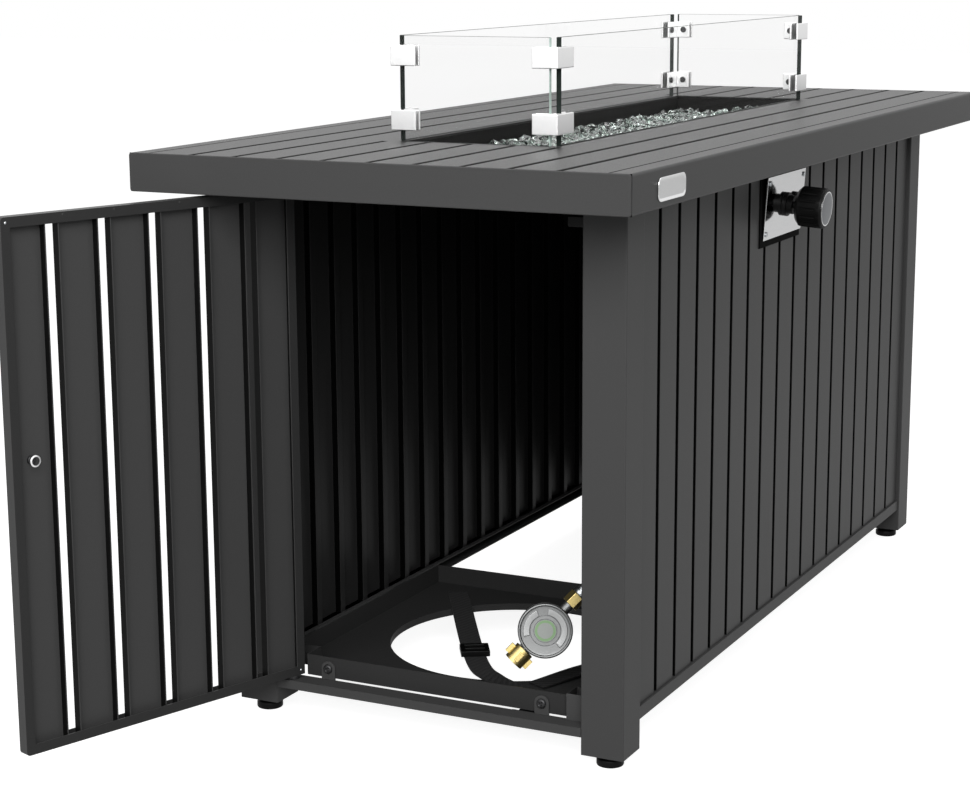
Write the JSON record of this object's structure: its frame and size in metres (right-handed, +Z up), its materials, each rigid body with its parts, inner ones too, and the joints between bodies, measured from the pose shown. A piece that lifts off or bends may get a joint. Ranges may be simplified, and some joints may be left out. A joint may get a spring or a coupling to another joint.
{
  "type": "gas fire pit",
  "caption": "Rectangular gas fire pit table: grooved folded-steel top round a glass-bed burner with a clip-cornered wind guard, slatted bottle cabinet with pivoted door, hose and regulator",
  "frame": {"origin": "On the floor under the middle of the table top.", "axes": "+X runs along the table away from the door end, -Y is the control side, +Z is up. The door stands open as in the picture."},
  "size_m": [1.4856, 0.5872, 0.743],
  "materials": {
    "black_steel": "satin powder coat",
    "pan_steel": "matt heat-resistant paint",
    "steel": "brushed",
    "polished_steel": "mirror polished",
    "cast_metal": "die-cast, matt",
    "knob_face": "spun",
    "brass": "machined",
    "black_plastic": "fine texture",
    "ceramic": "glazed",
    "hose_rubber": "smooth",
    "webbing": "woven",
    "guard_glass": "clear, polished edges",
    "fire_glass": "clear tumbled"
  },
  "bodies": {
    "table": {"top_sheet": "black_steel", "front_fascia": "black_steel", "back_fascia": "black_steel", "far_end_fascia": "black_steel", "door_end_fascia": "black_steel", "top_bars": "black_steel", "door_front_post": "black_steel", "door_back_post": "black_steel", "far_front_post": "black_steel", "far_back_post": "black_steel", "front_panel": "black_steel", "back_panel": "black_steel", "far_end_panel": "black_steel", "front_bottom_rail": "black_steel", "back_bottom_rail": "black_steel", "far_end_bottom_rail": "black_steel", "door_sill": "black_steel", "door_header": "black_steel", "door_stop_bracket": "black_steel", "bottle_tray": "black_steel", "tray_tabs": "black_steel", "control_pad": "black_steel", "burner_pan": "pan_steel", "burner_tube": "steel", "burner_supply_tube": "steel", "control_plate_screws": "steel", "tray_screws": "steel", "hose_ferrules": "steel", "control_plate": "polished_steel", "regulator_body": "cast_metal", "regulator_cover": "cast_metal", "gas_valve": "cast_metal", "hose_nuts": "brass", "knob_collar": "black_plastic", "igniter_housing": "black_plastic", "igniter_ring": "black_plastic", "strap_buckle": "black_plastic", "door_magnet_catch": "black_plastic", "spark_electrode": "ceramic", "gas_hose": "hose_rubber", "bottle_strap": "webbing", "fire_glass": "fire_glass"},
    "door": {"door_frame": "black_steel", "door_slats": "black_steel", "door_pivot_pins": "steel", "door_pull": "black_plastic", "door_pull_screw": "steel"},
    "valve_stem": {"valve_stem": "brass"},
    "control_knob": {"control_knob": "black_plastic", "knob_cap": "knob_face"},
    "igniter_button": {"igniter_button": "black_plastic"},
    "inlet_wing_nut": {"inlet_wing_nut": "brass"},
    "wind_guard": {"guard_side_panes": "guard_glass", "guard_end_panes": "guard_glass", "guard_clips": "polished_steel", "guard_clip_screws": "steel"},
    "door_front_foot": {"door_front_foot": "black_plastic"},
    "door_back_foot": {"door_back_foot": "black_plastic"},
    "far_front_foot": {"far_front_foot": "black_plastic"},
    "far_back_foot": {"far_back_foot": "black_plastic"}
  },
  "joints": [
    {"name": "door_hinge", "type": "hinge", "parent": "table", "child": "door", "pos_m": [-0.5185, 0.168, 0.3], "axis": [0, 0, -1], "range_deg": [-109, 11]},
    {"name": "knob_push", "type": "slide", "parent": "table", "child": "valve_stem", "axis": [0, 0.9974, 0.0715], "range_m": [0, 0.004], "stiffness_N_per_m": 900},
    {"name": "knob_turn", "type": "hinge", "parent": "valve_stem", "child": "control_knob", "pos_m": [-0.054, -0.26253, 0.53765], "axis": [0, -0.9974, -0.0715], "range_deg": [0, 180]},
    {"name": "igniter_press", "type": "slide", "parent": "table", "child": "igniter_button", "axis": [0, 0.9974, 0.0715], "range_m": [0, 0.005], "stiffness_N_per_m": 1500},
    {"name": "inlet_nut_turn", "type": "hinge", "parent": "table", "child": "inlet_wing_nut", "pos_m": [-0.45815, -0.07996, 0.08587], "axis": [-0.4447, 0.5684, -0.6922], "continuous": true},
    {"name": "guard_lift", "type": "slide", "parent": "table", "child": "wind_guard", "axis": [0, 0, 1], "range_m": [0, 0.16]},
    {"name": "door_front_foot_levelling", "type": "slide", "parent": "table", "child": "door_front_foot", "axis": [0, 0, -1], "range_m": [0, 0.008]},
    {"name": "door_back_foot_levelling", "type": "slide", "parent": "table", "child": "door_back_foot", "axis": [0, 0, -1], "range_m": [0, 0.008]},
    {"name": "far_front_foot_levelling", "type": "slide", "parent": "table", "child": "far_front_foot", "axis": [0, 0, -1], "range_m": [0, 0.008]},
    {"name": "far_back_foot_levelling", "type": "slide", "parent": "table", "child": "far_back_foot", "axis": [0, 0, -1], "range_m": [0, 0.008]}
  ]
}
